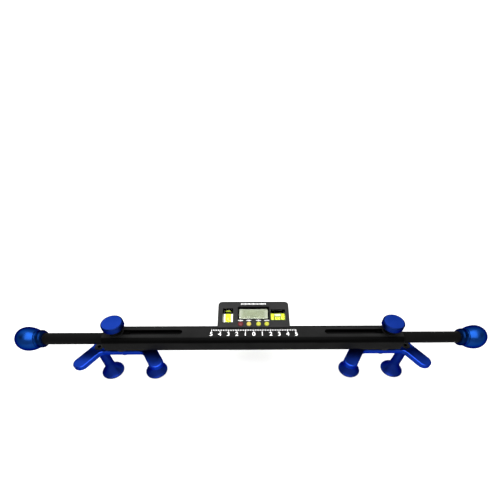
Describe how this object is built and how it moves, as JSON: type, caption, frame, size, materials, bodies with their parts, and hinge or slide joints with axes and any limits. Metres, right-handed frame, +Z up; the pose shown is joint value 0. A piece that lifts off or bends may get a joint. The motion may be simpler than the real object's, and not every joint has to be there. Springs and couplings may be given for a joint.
{
  "type": "digital steering wheel level",
  "caption": "Black slotted bar with a tilted digital level module, pull-out rods with blue ball handles, and knob-locked blue claws that hook a steering wheel.",
  "frame": {"origin": "on the surface that the feet stand on, below the middle of the bar's length and midway between the claw fingers' front and the module's back", "axes": "+X along the bar to the right, +Y to the back, where the module is, +Z up, out of the bar's front face"},
  "size_m": [0.5642, 0.0774, 0.0945],
  "materials": {
    "black_metal": "satin",
    "blue_metal": "gloss",
    "steel": "satin",
    "black_steel": "satin",
    "brass": "satin",
    "black_plastic": "matte",
    "case_plastic": "matte",
    "clear_window": "gloss",
    "display": "satin",
    "board": "matte",
    "grey_rubber": "matte",
    "vial": "gloss",
    "red_button": "satin",
    "orange_button": "satin",
    "yellow_button": "satin"
  },
  "bodies": {
    "bar_unit": {"bar": "black_metal", "left_end_bush": "black_plastic", "right_end_bush": "black_plastic", "left_guide_screw": "black_steel", "right_guide_screw": "black_steel", "module_front_case": "case_plastic", "module_rear_case": "case_plastic", "lcd_window": "clear_window", "lcd_panel": "display", "circuit_board": "board", "tilt_sensor": "black_plastic", "keypad_membrane": "grey_rubber", "coin_cell": "steel", "cell_contact": "brass", "plumb_vial": "vial", "level_vial": "vial", "case_screws": "steel", "mount_screws": "steel"},
    "power_button": {"power_button": "red_button"},
    "hold_button": {"hold_button": "orange_button"},
    "zero_button": {"zero_button": "yellow_button"},
    "units_button": {"units_button": "yellow_button"},
    "battery_cover": {"battery_cover": "case_plastic"},
    "left_arm": {"left_rod": "black_metal", "left_ball_handle": "blue_metal"},
    "left_slider": {"left_carriage": "black_metal", "left_swivel_screw": "steel", "left_claw_spacer": "black_plastic", "left_friction_washer": "steel"},
    "left_claw": {"left_claw_plate": "blue_metal", "left_outer_post": "blue_metal", "left_inner_post": "blue_metal", "left_post_screws": "black_steel"},
    "left_washer_lift": {"left_knob_washer": "black_plastic"},
    "left_clamp": {"left_knob": "blue_metal", "left_knob_sleeve": "black_metal", "left_knob_stud": "steel"},
    "right_arm": {"right_rod": "black_metal", "right_ball_handle": "blue_metal"},
    "right_slider": {"right_carriage": "black_metal", "right_swivel_screw": "steel", "right_claw_spacer": "black_plastic", "right_friction_washer": "steel"},
    "right_claw": {"right_claw_plate": "blue_metal", "right_outer_post": "blue_metal", "right_inner_post": "blue_metal", "right_post_screws": "black_steel"},
    "right_washer_lift": {"right_knob_washer": "black_plastic"},
    "right_clamp": {"right_knob": "blue_metal", "right_knob_sleeve": "black_metal", "right_knob_stud": "steel"}
  },
  "joints": [
    {"name": "power_button_press", "type": "slide", "parent": "bar_unit", "child": "power_button", "axis": [0, 0.225, -0.9744], "range_m": [0, 0.0005], "stiffness_N_per_m": 1500},
    {"name": "hold_button_press", "type": "slide", "parent": "bar_unit", "child": "hold_button", "axis": [0, 0.225, -0.9744], "range_m": [0, 0.0005], "stiffness_N_per_m": 1500},
    {"name": "zero_button_press", "type": "slide", "parent": "bar_unit", "child": "zero_button", "axis": [0, 0.225, -0.9744], "range_m": [0, 0.0005], "stiffness_N_per_m": 1500},
    {"name": "units_button_press", "type": "slide", "parent": "bar_unit", "child": "units_button", "axis": [0, 0.225, -0.9744], "range_m": [0, 0.0005], "stiffness_N_per_m": 1500},
    {"name": "battery_cover_turn", "type": "hinge", "parent": "bar_unit", "child": "battery_cover", "pos_m": [0, 0.02237, 0.06508], "axis": [0, 0.225, -0.9744], "range_deg": [0, 45]},
    {"name": "left_rod_pull", "type": "slide", "parent": "bar_unit", "child": "left_arm", "axis": [-1, 0, 0], "range_m": [-0.068, 0.012]},
    {"name": "left_carriage_slide", "type": "slide", "parent": "bar_unit", "child": "left_slider", "axis": [1, 0, 0], "range_m": [0, 0.0735]},
    {"name": "left_claw_swivel", "type": "hinge", "parent": "left_slider", "child": "left_claw", "pos_m": [-0.1615, -0.00649, 0.067], "axis": [0, 0, 1], "range_deg": [-90, 90]},
    {"name": "left_knob_lift", "type": "slide", "parent": "left_slider", "child": "left_washer_lift", "axis": [0, 0, 1], "range_m": [0, 0.0014]},
    {"name": "left_knob_turn", "type": "hinge", "parent": "left_washer_lift", "child": "left_clamp", "pos_m": [-0.1615, -0.00649, 0.067], "axis": [0, 0, 1], "range_deg": [0, 720]},
    {"name": "right_rod_pull", "type": "slide", "parent": "bar_unit", "child": "right_arm", "axis": [1, 0, 0], "range_m": [-0.068, 0.012]},
    {"name": "right_carriage_slide", "type": "slide", "parent": "bar_unit", "child": "right_slider", "axis": [-1, 0, 0], "range_m": [0, 0.0735]},
    {"name": "right_claw_swivel", "type": "hinge", "parent": "right_slider", "child": "right_claw", "pos_m": [0.1615, -0.00649, 0.067], "axis": [0, 0, 1], "range_deg": [-90, 90]},
    {"name": "right_knob_lift", "type": "slide", "parent": "right_slider", "child": "right_washer_lift", "axis": [0, 0, 1], "range_m": [0, 0.0014]},
    {"name": "right_knob_turn", "type": "hinge", "parent": "right_washer_lift", "child": "right_clamp", "pos_m": [0.1615, -0.00649, 0.067], "axis": [0, 0, 1], "range_deg": [0, 720]}
  ],
  "couplings": [
    {"joint": "left_knob_lift", "follows": "left_knob_turn", "m_per_rad": 0.00011141},
    {"joint": "right_knob_lift", "follows": "right_knob_turn", "m_per_rad": 0.00011141}
  ]
}
